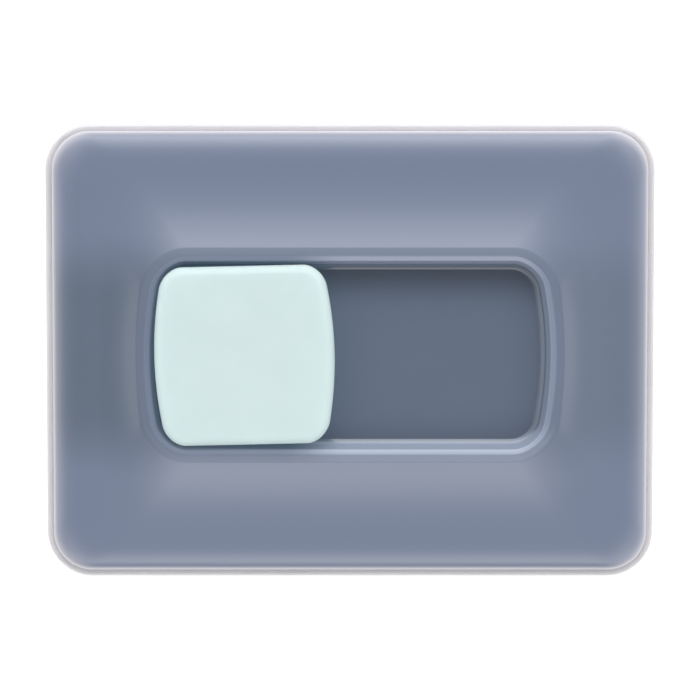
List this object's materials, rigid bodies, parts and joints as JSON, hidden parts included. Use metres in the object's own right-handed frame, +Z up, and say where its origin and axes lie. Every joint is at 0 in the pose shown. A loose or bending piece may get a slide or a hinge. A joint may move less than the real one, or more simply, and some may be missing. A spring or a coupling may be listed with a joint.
{
  "type": "wet palette",
  "caption": "Closed wet palette: frosted tray with damp sponge and palette paper under a glossy lid whose raised lip frames a long trough with a loose sliding block.",
  "frame": {"origin": "middle of the footprint on the surface that the palette stands on", "axes": "+Z up through the lid; X along the length, with the block at the -X end of the trough; -Y is the front, with the finger tab"},
  "size_m": [0.2, 0.1492, 0.036],
  "materials": {
    "frosted_plastic": "frosted translucent polypropylene",
    "lid_plastic": "glossy moulded blue-grey",
    "mint_plastic": "fine matte mint",
    "silicone": "matte translucent silicone",
    "sponge": "open-cell hydration foam",
    "paper": "damp parchment",
    "steel": "nickel-plated"
  },
  "bodies": {
    "tray": {"base_tray": "frosted_plastic", "foot_front_left": "silicone", "foot_front_right": "silicone", "foot_back_left": "silicone", "foot_back_right": "silicone", "sponge": "sponge", "palette_paper": "paper"},
    "lid": {"lid_shell": "lid_plastic", "lid_liner": "frosted_plastic", "lid_seal": "silicone", "keeper_front": "steel", "keeper_back": "steel"},
    "block": {"block_cap": "mint_plastic", "block_base": "mint_plastic", "block_pad": "silicone", "magnet_front": "steel", "magnet_back": "steel"}
  },
  "joints": [
    {"name": "lid_lift", "type": "slide", "parent": "tray", "child": "lid", "axis": [0, 0, 1], "range_m": [0, 0.06]},
    {"name": "block_slide", "type": "slide", "parent": "lid", "child": "block", "axis": [1, 0, 0], "range_m": [0, 0.0684]}
  ]
}
